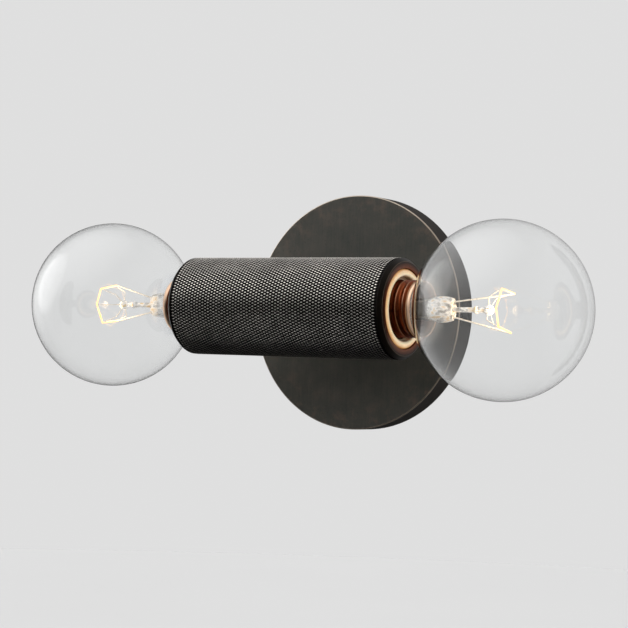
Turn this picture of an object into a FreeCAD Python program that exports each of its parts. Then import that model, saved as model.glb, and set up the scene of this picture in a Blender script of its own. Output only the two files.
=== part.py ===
import FreeCAD, Part
import math
import os

# A double wall light: a round backplate carries a knurled tube across its front, and a clear globe
# lamp screws into the socket at each end of the tube.
# Millimetres. X runs along the tube, Y into the wall, Z up. The wall is the plane y = 0, and the
# origin is the middle of the crossbar there.

V = FreeCAD.Vector
UP = V(0, 0, 1)
INTO_WALL = V(0, 1, 0)
ALONG = V(1, 0, 0)
RIGHT = 1
LEFT = -1

# Clearances, and how far a cutting tool runs past what it cuts
overrun = 1.0
slip = 0.05
touch = 0.1

# Backplate
canopy_dia = 114.3
canopy_depth = 13.2
canopy_face = 2.4
canopy_wall = 1.6
canopy_edge_round = 0.5

# Crossbar behind the backplate
bar_thick = 1.6
bar_width = 22.0
bar_bend = 1.6
bar_to_canopy = 1.55
bar_ear_length = 9.8
wire_hole_r = 8.0
slot_r = 2.4
slot_length = 18.0
slot_to_ear = 6.0

# Screws at the two sides of the backplate
side_screw_r = 2.0
side_screw_in = 6.4
side_screw_length = 6.6
side_head_r = 3.2
side_head_height = 1.6
side_head_round = 0.7
screw_slot_width = 0.8
screw_slot_depth = 0.7

# Knurled tube
tube_dia = 46.2
tube_wall = 2.0
tube_length = 112.2
tube_axis_out = 66.2

# Stem post and the threaded nipple through it
post_r = 9.5
nipple_r = 4.8
nipple_bore_r = 3.5
nipple_proud = 1.2
nut_flats = 14.0
nut_thick = 3.0
nut_edge_r = 7.7
lock_washer_r = 8.2
lock_washer_thick = 1.0
lock_washer_teeth = 10
lock_tooth_r = 0.55
saddle_r = 7.5
saddle_depth = 1.8

# Ground connection
ground_ring_r = 7.4
ground_ring_thick = 0.6
ground_tab_width = 2.4
ground_tab_length = 3.6
ground_wire_r = 0.6
ground_wire_bend = 2.4
ground_wire_run = 1.2
ground_screw_out = 20.0
ground_screw_r = 1.95
ground_head_r = 4.0
ground_head_height = 1.7

# End rings
ring_flange = 2.1
ring_bevel = 1.8
ring_land = 3.0
ring_spigot = 6.0

# Sockets
lip_width = 3.7
lip_overhang = 1.2
lip_height = 3.2
lip_crown = 1.55
lip_mouth_round = 1.2
porcelain_wall = 3.2
porcelain_floor = 5.734
socket_back_recess = 5.0
pocket_depth = 3.8
ring_body_clearance = 0.25

# Rolled screw thread of the lamp cap and of the socket shell: each slice across it is a circle
# set off the axis by the throw, and the offset goes once round in each pitch
thread_pitch = 3.629
thread_throw = 0.425
thread_steps_per_turn = 6
cap_turns = 5
shell_turns = 4
thread_clearance = 0.25
sheet = 0.35
shell_recess = 2.8

# What lies inside a socket, as shares of its screw shell's outside radius
pocket_share = 0.54
shell_flange_share = 0.57
back_recess_share = 0.832
shell_rivet_share = 0.7
contact_rivet_share = 0.38
rivet_share = 0.073
rivet_head_share = 0.117
contact_width_share = 0.365
contact_foot_share = 0.48
contact_turn_share = 0.336
contact_nose_share = 0.175

# Thicknesses in the socket, and the contact's bend
contact_thick = 0.45
contact_bend = 0.9
contact_lift = 0.1
rivet_head = 0.7
rivet_tail = 0.8
socket_screw_r = 1.25
socket_screw_bite = 6.0
socket_screw_head_r = 2.4
socket_screw_head = 1.8

# Strap that holds both sockets back to back inside the tube
strap_thick = 1.2
strap_width = 15.0
strap_bend = 1.2
strap_ear_overlap = 0.8

# Leads and their twist-on connectors
lead_r = 0.8
lead_apart = 1.1
lead_sweep = 9.0
lead_bend = 2.8
lead_straight = 2.8
lead_from_bar = 1.6
lead_jog_low = 8.6
lead_jog_high = 12.0
corner_share = 0.45
connector_out = 13.5
connector_length = 16.0
connector_mouth_r = 4.2
connector_end_r = 3.0
connector_bore = 11.0
connector_apart = 0.9
connector_from_wall = 5.4
connector_slack = 0.2
connector_skirt = 4.0

# Globe lamp, whose length makes its globe 80 mm across
lamp_length = 106.5
lamp_depth = 18.0
glass_thick = 0.7
neck_clearance = 0.55
neck_flare_r = 8.0
neck_flare_sunk = 4.448
neck_end_up = 10.8
cap_height = 27.0
cap_thread_up = 6.3
cap_edge_up = 4.7
cap_edge_share = 0.82
tip_height = 1.8
tip_rim = 0.4
tip_share = 0.375
insulator_low_share = 0.426
insulator_hole_r = 0.9
insulator_inside = 1.5

# Glass stem inside the lamp, placed from the middle of the globe
button_back = 6.7
button_r = 2.3
bead_back = 12.9
bead_r = 1.7
rod_r = 1.15
press_top_back = 24.2
press_wide_back = 29.9
press_low_back = 35.5
press_wide_r = 6.0
press_narrow_r = 4.3
press_top_wide_r = 5.0
press_top_narrow_r = 2.6
stem_r = 5.0
stem_wall = 0.8
flare_lip = 0.8

# Wires inside the lamp
lead_in_r = 0.35
lead_in_apart = 3.6
lead_in_bend = 2.0
lead_in_clear = 1.2
lead_in_low = 2.3
lead_in_turn = 9.0
lead_in_level = 15.5
filament_out = 2.0
filament_ring_r = 10.8
filament_r = 0.3
filament_gap = 0.2
filament_bend = 0.8
filament_angles = (64, 137, 183, 239, 315)
support_r = 0.18
support_root = 1.0
support_knee_r = 6.6
support_knee_out = 1.4
support_bend = 1.5
end_support_share = 0.12

# The backplate and the stack behind it, from the sizes above
tube_r = tube_dia / 2
bore_r = tube_r - tube_wall
shoulder = tube_length / 2
ring_face = shoulder + ring_flange
canopy_r = canopy_dia / 2
canopy_inside = -canopy_depth + canopy_face
bar_half = canopy_r - canopy_wall - bar_to_canopy
slot_at = bar_half - slot_to_ear - slot_length / 2
washer_back = canopy_inside + lock_washer_thick
nut_back = washer_back + ground_ring_thick
nipple_back = nut_back + nut_thick + nipple_proud

# Radii from the tube inwards: the socket fits the end ring, and the lamp's cap fits the socket
lip_r = tube_r - ring_bevel - ring_land - touch
lip_mouth_r = lip_r - lip_width
socket_body_r = lip_r - lip_overhang
shell_outer_r = socket_body_r - porcelain_wall - touch
shell_thread_r = shell_outer_r - sheet - thread_throw
cap_thread_r = shell_thread_r - thread_clearance
cap_collar_r = cap_thread_r + thread_throw + slip
cap_bowl_r = cap_thread_r - thread_throw - slip
cap_bore_r = cap_bowl_r - sheet
cap_edge_r = cap_thread_r * cap_edge_share
tip_r = cap_thread_r * tip_share
insulator_low_r = cap_thread_r * insulator_low_share
neck_r = cap_bore_r - neck_clearance
flare_rim_r = neck_r - touch
flare_r = flare_rim_r - stem_r - flare_lip

# Inside the socket
pocket_r = shell_outer_r * pocket_share
shell_flange_r = shell_outer_r * shell_flange_share
socket_back_recess_r = shell_outer_r * back_recess_share
shell_rivet_out = shell_outer_r * shell_rivet_share
contact_rivet_out = shell_outer_r * contact_rivet_share
rivet_r = shell_outer_r * rivet_share
rivet_head_r = shell_outer_r * rivet_head_share
contact_width = shell_outer_r * contact_width_share
contact_foot = shell_outer_r * contact_foot_share
contact_turn = shell_outer_r * contact_turn_share
contact_nose = shell_outer_r * contact_nose_share
socket_screw_out = (socket_back_recess_r + socket_body_r) / 2
strap_ear_hole_r = socket_back_recess_r - strap_ear_overlap

# Places along the tube, from its middle
shell_top = ring_face - shell_recess
shell_low = shell_top - shell_turns * thread_pitch
floor_high = shell_low - sheet
pocket_floor = floor_high - pocket_depth
floor_low = pocket_floor - porcelain_floor
socket_back = floor_low - socket_back_recess
strap_in = socket_back - strap_thick
lamp_tip = ring_face - lamp_depth
cap_top = lamp_tip + cap_height
cap_edge = lamp_tip + cap_edge_up
cap_thread_low = lamp_tip + cap_thread_up
cap_thread_high = cap_thread_low + cap_turns * thread_pitch
neck_end = lamp_tip + neck_end_up

# The globe is the ball that a flare from the neck meets, and that ends at the lamp's length
flare_at = cap_top - neck_flare_sunk
flare_to_end = lamp_tip + lamp_length - flare_at
flare_out = neck_r + neck_flare_r
globe_r = (flare_to_end**2 + flare_out**2 - neck_flare_r**2) / 2 / (flare_to_end + neck_flare_r)
globe_at = lamp_tip + lamp_length - globe_r
press_top = globe_at - press_top_back
press_low = globe_at - press_low_back
filament_at = globe_at + filament_out

# Places across the tube, from its axis towards the wall
saddle_face = bore_r - saddle_depth
nut_front = saddle_face - strap_thick
nipple_front = nut_front - nut_thick - nipple_proud


def turned(edges_or_points):
    """A solid turned about the X axis, from (along, radius) points or from edges in the XY plane."""
    if isinstance(edges_or_points[0], tuple):
        corners = [V(along, radius, 0) for along, radius in edges_or_points]
        wire = Part.makePolygon(corners + corners[:1])
    else:
        wire = Part.Wire(Part.__sortEdges__(edges_or_points))
    return Part.Face(wire).revolve(V(0, 0, 0), ALONG, 360)


def bar_x(radius, low, high, y=0, z=0):
    return Part.makeCylinder(radius, high - low, V(low, y, z), ALONG)


def bar_y(radius, low, high, x=0, z=0):
    return Part.makeCylinder(radius, high - low, V(x, low, z), INTO_WALL)


def between(radius, start, end):
    return Part.makeCylinder(radius, (end - start).Length, start, end - start)


def rounded_path(points, bend):
    """Straight runs through the points, joined by tangent arcs that fit the shorter run."""
    edges = []
    last = points[0]
    for before, corner, after in zip(points, points[1:], points[2:]):
        back = (before - corner).normalize()
        ahead = (after - corner).normalize()
        half_turn = (math.pi - back.getAngle(ahead)) / 2
        shorter = min((before - corner).Length, (after - corner).Length)
        trim = min(bend * math.tan(half_turn), corner_share * shorter)
        radius = trim / math.tan(half_turn)
        inwards = (back + ahead).normalize()
        middle = corner + inwards * (radius / math.cos(half_turn) - radius)
        start = corner + back * trim
        end = corner + ahead * trim
        edges.append(Part.makeLine(last, start))
        edges.append(Part.Arc(start, middle, end).toShape())
        last = end
    edges.append(Part.makeLine(last, points[-1]))
    return edges


def drawn_wire(edges, radius):
    """A round wire drawn along straight and curved edges that join end to end."""
    pieces = []
    for edge in edges:
        start = edge.valueAt(edge.FirstParameter)
        end = edge.valueAt(edge.LastParameter)
        heading = edge.tangentAt(edge.FirstParameter)
        disc = Part.Face(Part.Wire([Part.makeCircle(radius, start, heading)]))
        if isinstance(edge.Curve, Part.Circle):
            turn = math.degrees(edge.LastParameter - edge.FirstParameter)
            pieces.append(disc.revolve(edge.Curve.Center, edge.Curve.Axis, turn))
        else:
            pieces.append(disc.extrude(end - start))
    return pieces[0].multiFuse(pieces[1:])


def wound(radius, low, steps):
    """The rolled thread as a ruled loft through circles whose middles go round the axis."""
    rings = []
    for step in range(steps + 1):
        along = low + step * thread_pitch / thread_steps_per_turn
        turn = 2 * math.pi * along / thread_pitch
        middle = V(along, thread_throw * math.cos(turn), thread_throw * math.sin(turn))
        rings.append(Part.Wire([Part.makeCircle(radius, middle, ALONG)]))
    return Part.makeLoft(rings, True, True)


def folded_strip(half_span, back, reach, thick, inner_bend, width):
    """A strip with its web facing the wall at y = back and its two ends folded forward."""
    outer = inner_bend + thick
    corner_r = {outer: half_span, inner_bend: half_span - thick}
    diagonal = math.cos(math.pi / 4)
    edges = []
    for radius, reach_x in corner_r.items():
        web_y = back - (outer - radius)
        centre_x = half_span - outer
        centre_y = back - outer
        for side in (LEFT, RIGHT):
            foot = V(side * reach_x, back - reach, 0)
            low = V(side * reach_x, centre_y, 0)
            middle = V(side * (centre_x + radius * diagonal), centre_y + radius * diagonal, 0)
            high = V(side * centre_x, web_y, 0)
            edges.append(Part.makeLine(foot, low))
            edges.append(Part.Arc(low, middle, high).toShape())
        edges.append(Part.makeLine(V(-centre_x, web_y, 0), V(centre_x, web_y, 0)))
    for side in (LEFT, RIGHT):
        outer_end = V(side * half_span, back - reach, 0)
        inner_end = V(side * (half_span - thick), back - reach, 0)
        edges.append(Part.makeLine(outer_end, inner_end))
    outline = Part.Face(Part.Wire(Part.__sortEdges__(edges)))
    outline.translate(V(0, 0, -width / 2))
    return outline.extrude(V(0, 0, width))


def hexagon(flats, low, high):
    """A hexagonal bar along Y, between its low and high ends."""
    corner = flats / 2 / math.cos(math.pi / 6)
    ring = [V(corner * math.cos(k * math.pi / 3), low, corner * math.sin(k * math.pi / 3)) for k in range(7)]
    return Part.Face(Part.makePolygon(ring)).extrude(V(0, high - low, 0))


def seated(shape, side, half_turn=False):
    """Moves what was made on the right-hand lamp axis to its own end of the tube."""
    placed = shape.copy()
    if half_turn:
        placed.rotate(V(0, 0, 0), ALONG, 180)
    if side == LEFT:
        placed.rotate(V(0, 0, 0), UP, 180)
    placed.translate(V(0, -tube_axis_out, 0))
    return placed


def canopy():
    pan = bar_y(canopy_r, -canopy_depth, 0)
    front = [edge for edge in pan.Edges if edge.BoundBox.YMax < -canopy_depth / 2]
    pan = pan.makeFillet(canopy_edge_round, front)
    pan = pan.cut(bar_y(canopy_r - canopy_wall, canopy_inside, overrun))
    pan = pan.cut(bar_y(nipple_r + 2 * slip, -canopy_depth - overrun, canopy_inside + overrun))
    return pan.cut(bar_x(side_screw_r + 4 * slip, -canopy_r - overrun, canopy_r + overrun, -side_screw_in))


def wall_crossbar():
    bar = folded_strip(bar_half, 0, bar_ear_length, bar_thick, bar_bend, bar_width)
    bar = bar.cut(bar_y(wire_hole_r, -bar_thick - overrun, overrun))
    for side in (LEFT, RIGHT):
        straight = slot_length - 2 * slot_r
        inner = side * slot_at - straight / 2
        for end in (inner, inner + straight):
            bar = bar.cut(bar_y(slot_r, -bar_thick - overrun, overrun, end))
        corner = V(inner, -bar_thick - overrun, -slot_r)
        bar = bar.cut(Part.makeBox(straight, bar_thick + 2 * overrun, 2 * slot_r, corner))
    bar = bar.cut(bar_x(side_screw_r + slip, -bar_half - overrun, bar_half + overrun, -side_screw_in))
    return bar.cut(bar_y(ground_screw_r + slip, -bar_thick - overrun, overrun, ground_screw_out))


def canopy_screws():
    """Two low round heads against the pan's side wall, their shanks in the ears of the crossbar."""
    head_top = canopy_r + side_head_height
    head = bar_x(side_head_r, canopy_r, head_top)
    rim = [edge for edge in head.Edges if edge.BoundBox.XMin > head_top - slip]
    head = head.makeFillet(side_head_round, rim)
    slot = Part.makeBox(
        screw_slot_depth + overrun,
        screw_slot_width,
        2 * (side_head_r + overrun),
        V(head_top - screw_slot_depth, -screw_slot_width / 2, -side_head_r - overrun),
    )
    screw = head.cut(slot).fuse(bar_x(side_screw_r, canopy_r - side_screw_length, canopy_r))
    pair = []
    for side in (LEFT, RIGHT):
        placed = screw.copy()
        if side == LEFT:
            placed.rotate(V(0, 0, 0), UP, 180)
        placed.translate(V(0, -side_screw_in, 0))
        pair.append(placed)
    return Part.makeCompound(pair)


def ground_screw():
    head_low = -bar_thick - 2 * ground_wire_r - 2 * slip
    head = bar_y(ground_head_r, head_low - ground_head_height, head_low, ground_screw_out)
    slot_from = ground_screw_out - ground_head_r - overrun
    slot = Part.makeBox(
        2 * (ground_head_r + overrun),
        screw_slot_depth + overrun,
        screw_slot_width,
        V(slot_from, head_low - ground_head_height - overrun, -screw_slot_width / 2),
    )
    return head.cut(slot).fuse(bar_y(ground_screw_r, head_low, -slip, ground_screw_out))


def ground_wire():
    """A ring terminal under the rear locknut, and a bare wire from it that hooks round the screw."""
    ring = bar_y(ground_ring_r, washer_back, nut_back)
    ring = ring.cut(bar_y(nipple_r + slip, washer_back - overrun, nut_back + overrun))
    tab_from = (nipple_r + ground_ring_r) / 2
    tab_to = ground_ring_r + ground_tab_length
    tab_corner = V(tab_from, washer_back, -ground_tab_width / 2)
    tab = Part.makeBox(tab_to - tab_from, ground_ring_thick, ground_tab_width, tab_corner)
    wire_y = washer_back + ground_ring_thick / 2
    hook_y = -bar_thick - ground_wire_r - slip
    hook_r = ground_screw_r + ground_wire_r + slip
    knee = tab_to + ground_wire_run
    start = V(tab_to - ground_wire_run, wire_y, 0)
    meet = V(ground_screw_out, hook_y, hook_r)
    turn = V(ground_screw_out - ground_head_r - ground_wire_run, hook_y, hook_r)
    route = [start, V(knee, wire_y, 0), turn, meet]
    edges = rounded_path(route, ground_wire_bend)
    far = V(ground_screw_out + hook_r, hook_y, 0)
    edges.append(Part.Arc(meet, far, V(ground_screw_out, hook_y, -hook_r)).toShape())
    return ring.fuse(tab).fuse(drawn_wire(edges, ground_wire_r))


def stem_post():
    """The neck between backplate and tube, its front end hollowed to the tube's round."""
    post = bar_y(post_r, -tube_axis_out, -canopy_depth)
    post = post.cut(bar_x(tube_r + slip, -post_r - overrun, post_r + overrun, -tube_axis_out))
    return post.cut(bar_y(nipple_r + slip, -tube_axis_out, -canopy_depth + overrun))


def stem_nipple():
    low = -tube_axis_out + nipple_front
    nipple = bar_y(nipple_r, low, nipple_back)
    return nipple.cut(bar_y(nipple_bore_r, low - overrun, nipple_back + overrun))


def canopy_lock_washer():
    """A washer with teeth round its edge, between the pan and the ring terminal."""
    washer = bar_y(lock_washer_r - lock_tooth_r, canopy_inside, washer_back)
    for tooth in range(lock_washer_teeth):
        angle = 2 * math.pi * tooth / lock_washer_teeth
        reach = lock_washer_r - lock_tooth_r
        out_at = reach * math.cos(angle)
        up_at = reach * math.sin(angle)
        washer = washer.fuse(bar_y(lock_tooth_r, canopy_inside, washer_back, out_at, up_at))
    washer = washer.removeSplitter()
    return washer.cut(bar_y(nipple_r + slip, canopy_inside - overrun, washer_back + overrun))


def nipple_locknuts():
    """The identical nuts at the two ends of the nipple."""
    nuts = []
    for low in (nut_back, -tube_axis_out + nut_front - nut_thick):
        blank = hexagon(nut_flats, low, low + nut_thick)
        crown = bar_y(nut_edge_r, low, low + nut_thick)
        nut = blank.common(crown)
        nuts.append(nut.cut(bar_y(nipple_r + slip, low - overrun, low + nut_thick + overrun)))
    return Part.makeCompound(nuts)


def saddle_washer():
    """Flat towards the strap, and round towards the inside of the tube."""
    blank = bar_y(saddle_r, -tube_axis_out + saddle_face, -tube_axis_out + bore_r)
    blank = blank.common(bar_x(bore_r - touch, -saddle_r - overrun, saddle_r + overrun, -tube_axis_out))
    return blank.cut(bar_y(nipple_r + slip, -tube_axis_out, -canopy_depth))


def knurled_tube():
    tube = bar_x(tube_r, -shoulder, shoulder, -tube_axis_out)
    tube = tube.cut(bar_x(bore_r, -shoulder - overrun, shoulder + overrun, -tube_axis_out))
    return tube.cut(bar_y(nipple_r + 2 * slip, -tube_axis_out, -tube_axis_out + tube_r + overrun))


def socket_strap():
    back = -tube_axis_out + saddle_face
    strap = folded_strip(socket_back, back, saddle_face, strap_thick, strap_bend, strap_width)
    for side in (LEFT, RIGHT):
        low, high = sorted((side * strap_in, side * socket_back))
        strap = strap.fuse(bar_x(socket_body_r, low, high, -tube_axis_out))
    reach = socket_back + overrun
    strap = strap.cut(bar_x(strap_ear_hole_r, -reach, reach, -tube_axis_out))
    for out in (-socket_screw_out, socket_screw_out):
        strap = strap.cut(bar_x(socket_screw_r + slip, -reach, reach, -tube_axis_out + out))
    return strap.cut(bar_y(nipple_r + slip, -tube_axis_out, back + overrun))


def end_ring():
    """Closes the tube's end, and carries the socket's lip on its inner step."""
    seat = ring_face - lip_height
    spigot_end = shoulder - ring_spigot
    return turned(
        [
            (shoulder, tube_r),
            (ring_face, tube_r - ring_bevel),
            (ring_face, lip_r + touch),
            (seat, lip_r + touch),
            (seat, socket_body_r + ring_body_clearance),
            (spigot_end, socket_body_r + ring_body_clearance),
            (spigot_end, bore_r - slip),
            (shoulder, bore_r - slip),
        ]
    )


def socket_body():
    """The porcelain cup: a crowned lip, the bore for the screw shell, the contact's pocket, and a
    recess at the back for the rivet tails."""
    under_lip = ring_face - lip_height
    body = turned(
        [
            (ring_face, lip_mouth_r),
            (ring_face, lip_r),
            (under_lip, lip_r),
            (under_lip, socket_body_r),
            (socket_back, socket_body_r),
            (socket_back, socket_back_recess_r),
            (floor_low, socket_back_recess_r),
            (floor_low, 0),
            (pocket_floor, 0),
            (pocket_floor, pocket_r),
            (floor_high, pocket_r),
            (floor_high, shell_outer_r + touch),
            (shell_top, shell_outer_r + touch),
            (shell_top, lip_mouth_r),
        ]
    )
    for radius, rounding in ((lip_r, lip_crown), (lip_mouth_r, lip_mouth_round)):
        rim = [
            edge
            for edge in body.Edges
            if edge.BoundBox.XMin > ring_face - slip and abs(edge.BoundBox.YMax - radius) < slip
        ]
        body = body.makeFillet(rounding, rim)
    body = body.cut(bar_x(rivet_r + slip, floor_low - overrun, pocket_floor + overrun, 0, contact_rivet_out))
    body = body.cut(bar_x(rivet_r + slip, floor_low - overrun, floor_high + overrun, 0, -shell_rivet_out))
    for out in (-socket_screw_out, socket_screw_out):
        depth = socket_back + socket_screw_bite + overrun
        body = body.cut(bar_x(socket_screw_r + slip, socket_back - overrun, depth, out))
    return body


def socket_shell():
    """The female screw shell, rolled from sheet, with a flange on the socket's floor."""
    steps = shell_turns * thread_steps_per_turn
    shell = wound(shell_thread_r + sheet, shell_low, steps)
    flange = bar_x(shell_outer_r + slip, floor_high, shell_low)
    shell = shell.cut(wound(shell_thread_r, shell_low, steps))
    shell = shell.fuse(flange)
    shell = shell.cut(bar_x(shell_flange_r, floor_high - overrun, shell_low + overrun))
    return shell.cut(bar_x(rivet_r + slip, floor_high - overrun, shell_low + overrun, 0, -shell_rivet_out))


def centre_contact():
    """A hairpin spring: a foot on the pocket's floor, a bend, and an arm that rises to the lamp's tip."""
    thick = contact_thick
    bend_out = contact_bend + thick
    bend_at = pocket_floor + bend_out
    nose = lamp_tip + contact_lift

    def at(along, z):
        return V(along, -contact_width / 2, z)

    arm = at(bend_at + bend_out, -contact_turn)
    arm_under = at(bend_at + contact_bend, -contact_turn)
    foot_under = at(pocket_floor, -contact_turn)
    foot_over = at(pocket_floor + thick, -contact_turn)
    edges = [
        Part.makeLine(at(pocket_floor, contact_foot), foot_under),
        Part.Arc(foot_under, at(bend_at, -contact_turn - bend_out), arm).toShape(),
        Part.makeLine(arm, at(nose, contact_nose)),
        Part.makeLine(at(nose, contact_nose), at(nose - thick, contact_nose)),
        Part.makeLine(at(nose - thick, contact_nose), arm_under),
        Part.Arc(arm_under, at(bend_at, -contact_turn - contact_bend), foot_over).toShape(),
        Part.makeLine(foot_over, at(pocket_floor + thick, contact_foot)),
        Part.makeLine(at(pocket_floor + thick, contact_foot), at(pocket_floor, contact_foot)),
    ]
    strip = Part.Face(Part.Wire(Part.__sortEdges__(edges))).extrude(V(0, contact_width, 0))
    hole_top = pocket_floor + thick + contact_bend
    return strip.cut(bar_x(rivet_r + slip, pocket_floor - overrun, hole_top, 0, contact_rivet_out))


def rivet(under_head, z):
    head = bar_x(rivet_head_r, under_head, under_head + rivet_head, 0, z)
    shank = bar_x(rivet_r, floor_low, under_head, 0, z)
    tail = bar_x(rivet_head_r, floor_low - rivet_tail, floor_low, 0, z)
    return head.fuse(shank).fuse(tail)


def socket_rivets():
    """In each socket one rivet holds the contact's foot and one holds the shell's flange."""
    pair = Part.makeCompound(
        [rivet(pocket_floor + contact_thick, contact_rivet_out), rivet(shell_low, -shell_rivet_out)]
    )
    return Part.makeCompound([seated(pair, side) for side in (LEFT, RIGHT)])


def socket_screws():
    screws = []
    for side in (LEFT, RIGHT):
        for out in (-socket_screw_out, socket_screw_out):
            head = bar_x(socket_screw_head_r, strap_in - socket_screw_head, strap_in, out)
            shank = bar_x(socket_screw_r, strap_in, socket_back + socket_screw_bite, out)
            screws.append(seated(head.fuse(shank), side))
    return Part.makeCompound(screws)


def leads(rivet_out, way):
    """Both sockets' leads of one kind, from their rivets to the connector above or below the nipple."""
    pair = []
    turn_y = -bar_thick - lead_from_bar
    axis_y = -tube_axis_out
    for side in (LEFT, RIGHT):
        x = side * lead_apart
        end_x = side * connector_apart
        route = [
            V(side * (floor_low - rivet_tail), axis_y, rivet_out),
            V(side * (floor_low - rivet_tail - lead_straight), axis_y, rivet_out),
            V(x, axis_y, way * lead_apart),
            V(x, turn_y, way * lead_apart),
            V(x, turn_y, way * lead_jog_low),
            V(end_x, -connector_from_wall, way * lead_jog_high),
            V(end_x, -connector_from_wall, way * (connector_out + connector_bore - touch)),
        ]
        bends = (lead_sweep, lead_bend)
        first = rounded_path(route[:4], bends[0])
        second = rounded_path(route[2:], bends[1])
        pair.append(drawn_wire(joined(first, second, route[2], route[3]), lead_r))
    return Part.makeCompound(pair)


def joined(first, second, corner, goal):
    """Two rounded paths that share the run from corner to goal, with that run cut to what is left."""
    start = first[-2].Vertexes[-1].Point
    end = second[1].Vertexes[0].Point
    return first[:-1] + [Part.makeLine(start, end)] + second[1:]


def wire_connectors():
    """Two tapered caps with a grip skirt, each open towards the nipple."""
    bore = connector_apart + lead_r + connector_slack
    skirt_r = (connector_mouth_r + connector_end_r) / 2
    cap = turned(
        [
            (connector_out, bore),
            (connector_out, connector_mouth_r),
            (connector_out + connector_skirt, connector_mouth_r),
            (connector_out + connector_skirt, skirt_r),
            (connector_out + connector_length, connector_end_r),
            (connector_out + connector_length, 0),
            (connector_out + connector_bore, 0),
            (connector_out + connector_bore, bore),
        ]
    )
    caps = []
    for quarter in (90, -90):
        placed = cap.copy()
        placed.rotate(V(0, 0, 0), INTO_WALL, quarter)
        placed.translate(V(0, -connector_from_wall, 0))
        caps.append(placed)
    return Part.makeCompound(caps)


def polar(centre_x, centre_y, radius, angle):
    return V(centre_x + radius * math.cos(angle), centre_y + radius * math.sin(angle), 0)


def bulb_glass():
    """The globe, drawn into a neck by a flare that is tangent to both."""
    lean = math.atan2(flare_out, flare_at - globe_at)
    back = lean - math.pi
    edges = []
    for thick in (0, glass_thick):
        ball = globe_r - thick
        flare = neck_flare_r + thick
        foot = V(neck_end, neck_r - thick, 0)
        bend = V(flare_at, neck_r - thick, 0)
        meet = polar(globe_at, 0, ball, lean)
        pole = V(globe_at + ball, 0, 0)
        middle = polar(flare_at, flare_out, flare, (back - math.pi / 2) / 2)
        edges.append(Part.makeLine(foot, bend))
        edges.append(Part.Arc(bend, middle, meet).toShape())
        edges.append(Part.Arc(meet, polar(globe_at, 0, ball, lean / 2), pole).toShape())
    edges.append(Part.makeLine(V(globe_at + globe_r, 0, 0), V(globe_at + globe_r - glass_thick, 0, 0)))
    edges.append(Part.makeLine(V(neck_end, neck_r, 0), V(neck_end, neck_r - glass_thick, 0)))
    return turned(edges)


def bulb_base_shell():
    """The lamp's cap, rolled from sheet: a collar, the screw thread, and a bowl down to the insulator."""
    steps = cap_turns * thread_steps_per_turn
    step = thread_pitch / thread_steps_per_turn
    shell = wound(cap_thread_r, cap_thread_low, steps)
    shell = shell.cut(wound(cap_thread_r - sheet, cap_thread_low + step, steps - 1))
    collar_in = cap_collar_r - sheet
    collar = turned(
        [
            (cap_thread_high, cap_bore_r),
            (cap_thread_high, cap_collar_r),
            (cap_top, cap_collar_r),
            (cap_top, collar_in),
            (cap_thread_high + sheet, collar_in),
            (cap_thread_high + sheet, cap_bore_r),
        ]
    )
    bowl = turned(
        [
            (cap_edge, cap_edge_r),
            (cap_thread_low, cap_bowl_r),
            (cap_thread_low, cap_bore_r),
            (cap_edge, cap_edge_r - sheet),
        ]
    )
    shell = shell.cut(bar_x(cap_bore_r, cap_thread_low - overrun, cap_thread_high + overrun))
    return shell.fuse(bowl).fuse(collar)


def bulb_insulator():
    face = lamp_tip + tip_height + touch
    fit_r = cap_edge_r - sheet - touch
    return turned(
        [
            (face, insulator_hole_r),
            (face, insulator_low_r),
            (cap_edge - touch, fit_r),
            (cap_edge + insulator_inside, fit_r),
            (cap_edge + insulator_inside, insulator_hole_r),
        ]
    )


def bulb_tip():
    dome = tip_height - tip_rim
    dome_r = (tip_r**2 + dome**2) / (2 * dome)
    half = math.asin(tip_r / dome_r) / 2
    rim = V(lamp_tip + dome, tip_r, 0)
    back = V(lamp_tip + tip_height, tip_r, 0)
    middle = V(lamp_tip + dome_r * (1 - math.cos(half)), dome_r * math.sin(half), 0)
    edges = [
        Part.Arc(V(lamp_tip, 0, 0), middle, rim).toShape(),
        Part.makeLine(rim, back),
        Part.makeLine(back, V(lamp_tip + tip_height, 0, 0)),
        Part.makeLine(V(lamp_tip + tip_height, 0, 0), V(lamp_tip, 0, 0)),
    ]
    return turned(edges)


def lead_in_route(side_z, vertex):
    """A lead's way from the lamp's cap through the stem and the press to one end of the filament."""
    end_back = filament_r + filament_gap
    through = [
        V(lamp_tip + lead_in_level, 0, side_z * lead_in_apart),
        V(press_top + lead_in_clear, 0, side_z * lead_in_apart),
        V(filament_at - end_back, vertex.y, vertex.z),
    ]
    if side_z > 0:
        return [V(lamp_tip + lead_in_low, 0, 0), V(lamp_tip + lead_in_turn, 0, 0)] + through
    inside = cap_bore_r - lead_in_r - touch
    low = neck_end - stem_wall - lead_in_r - 2 * touch - lead_in_r
    return [V(low, 0, -inside), V(low, 0, -lead_in_apart - lead_in_clear)] + through


def filament_vertices():
    """Corners of the filament's open ring, counted from the side towards the room, upwards."""
    corners = []
    for degrees in filament_angles:
        angle = math.radians(degrees)
        corners.append(V(filament_at, -filament_ring_r * math.cos(angle), filament_ring_r * math.sin(angle)))
    return corners


def bulb_lead_wires():
    corners = filament_vertices()
    wires = []
    for side_z, vertex in ((1, corners[0]), (-1, corners[-1])):
        wires.append(drawn_wire(rounded_path(lead_in_route(side_z, vertex), lead_in_bend), lead_in_r))
    return Part.makeCompound(wires)


def bulb_filament():
    return drawn_wire(rounded_path(filament_vertices(), filament_bend), filament_r)


def support_ends():
    """Each support ends behind the filament: at its three inner corners and just inside its two ends."""
    corners = filament_vertices()
    first = corners[0] + (corners[1] - corners[0]) * end_support_share
    last = corners[-1] + (corners[-2] - corners[-1]) * end_support_share
    return [first] + corners[1:-1] + [last]


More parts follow.
